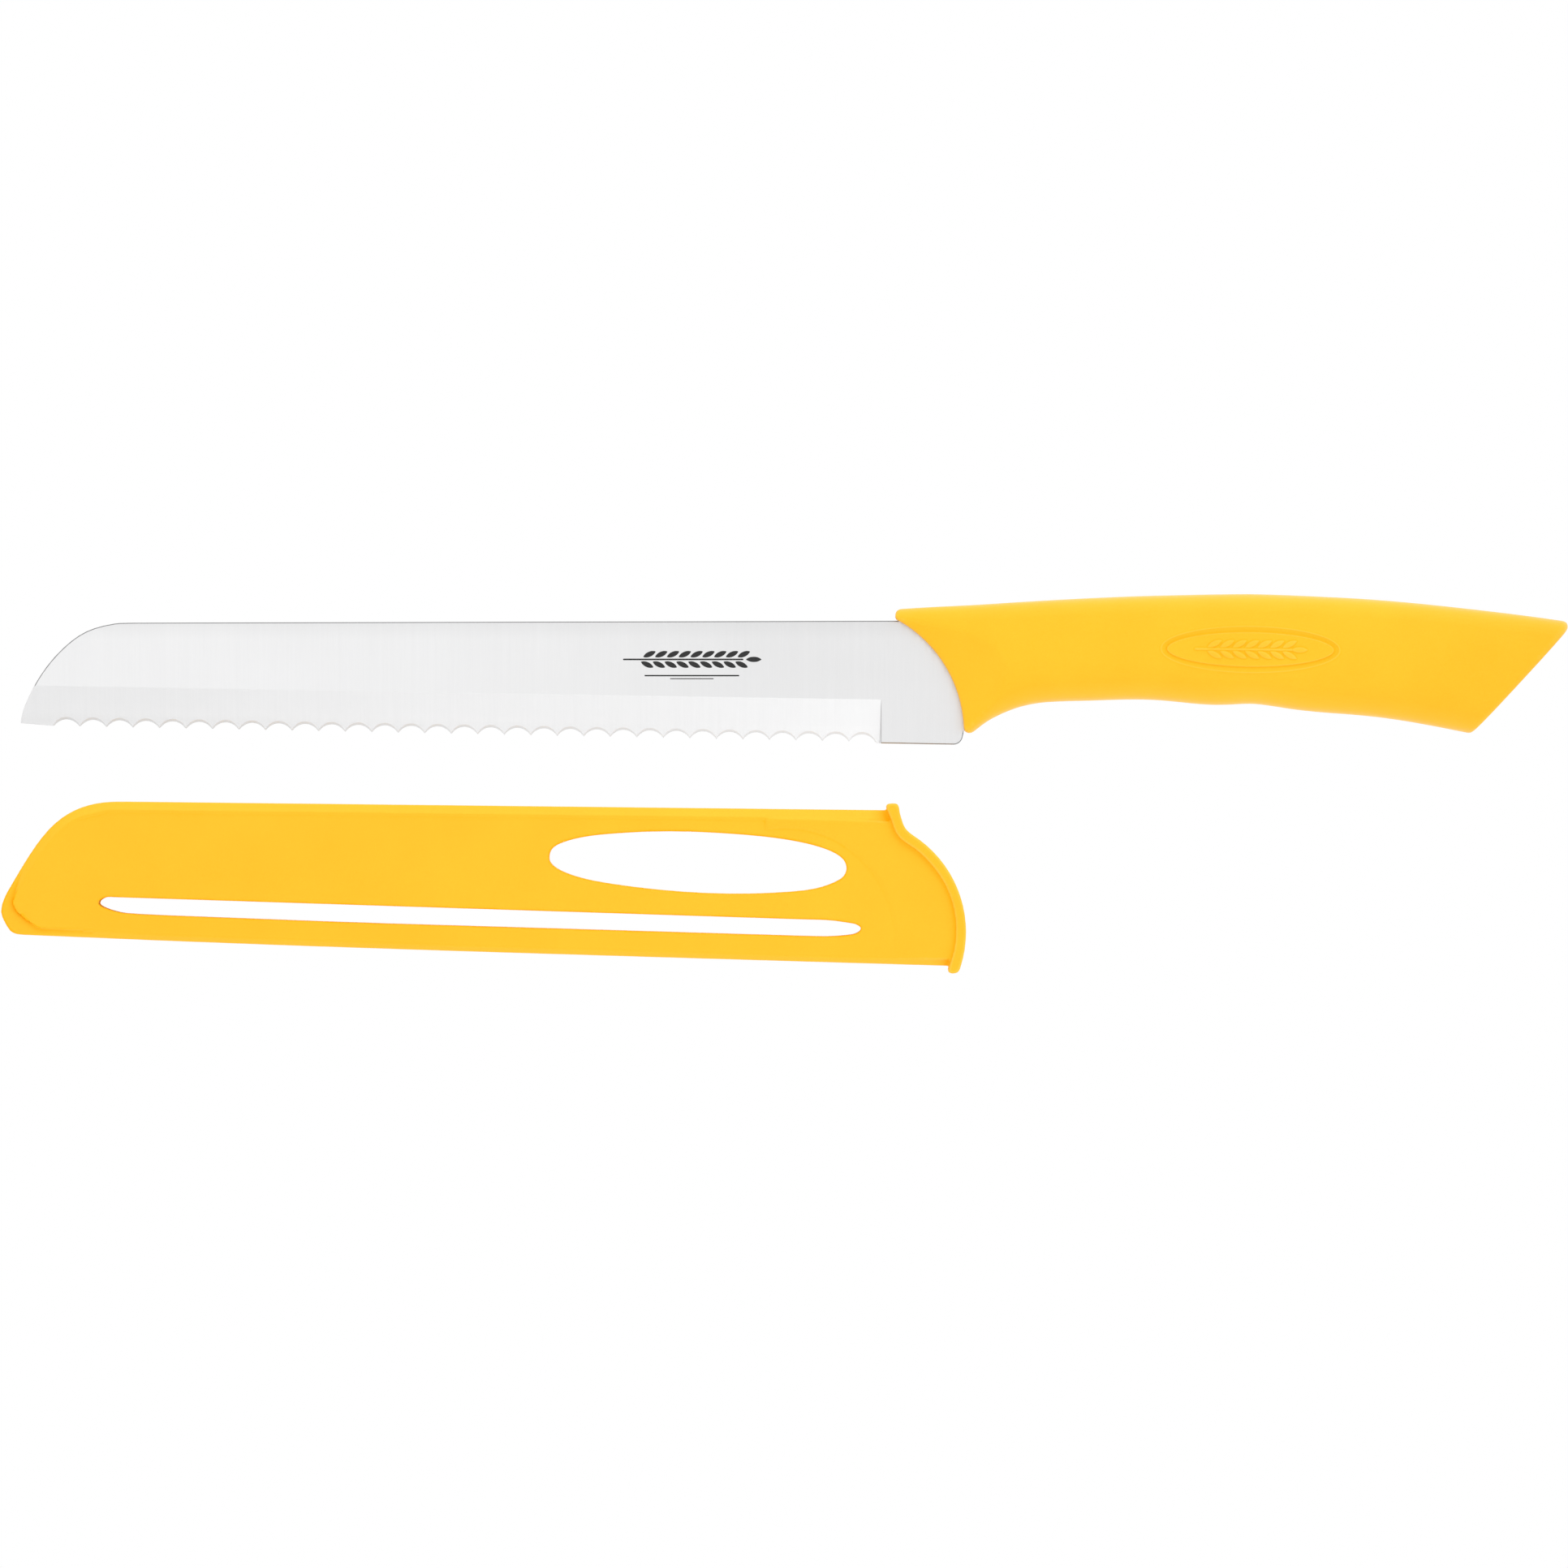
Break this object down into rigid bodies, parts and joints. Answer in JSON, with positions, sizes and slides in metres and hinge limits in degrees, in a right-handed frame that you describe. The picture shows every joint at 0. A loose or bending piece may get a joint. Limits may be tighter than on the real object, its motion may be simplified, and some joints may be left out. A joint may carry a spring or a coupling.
{
  "type": "bread knife",
  "caption": "Scalloped-edge bread knife with a moulded soft-grip handle and a slide-on vented blade sheath.",
  "frame": {"origin": "on the blade's mid-plane, on the heel 9 mm in front of the handle and about half way up the blade", "axes": "+X along the knife from the blade's tip to the handle's butt, +Z from the cutting edge to the spine, Y across the blade with the ground side of the edge facing -Y and the flat back facing +Y"},
  "size_m": [0.3087, 0.0165, 0.0747],
  "materials": {
    "blade_steel": "fine satin grain across the blade",
    "handle_core": "plain moulded core",
    "handle_grip": "soft-touch yellow with a very fine texture",
    "sheath": "satin yellow, fine moulded texture"
  },
  "bodies": {
    "knife": {"blade": "blade_steel", "handle_core": "handle_core", "handle_grip": "handle_grip"},
    "sheath": {"sheath": "sheath"}
  },
  "joints": [
    {"name": "sheath_draw", "type": "slide", "parent": "knife", "child": "sheath", "axis": [0.9999, 0, -0.014], "range_m": [-0.19, 0]}
  ]
}
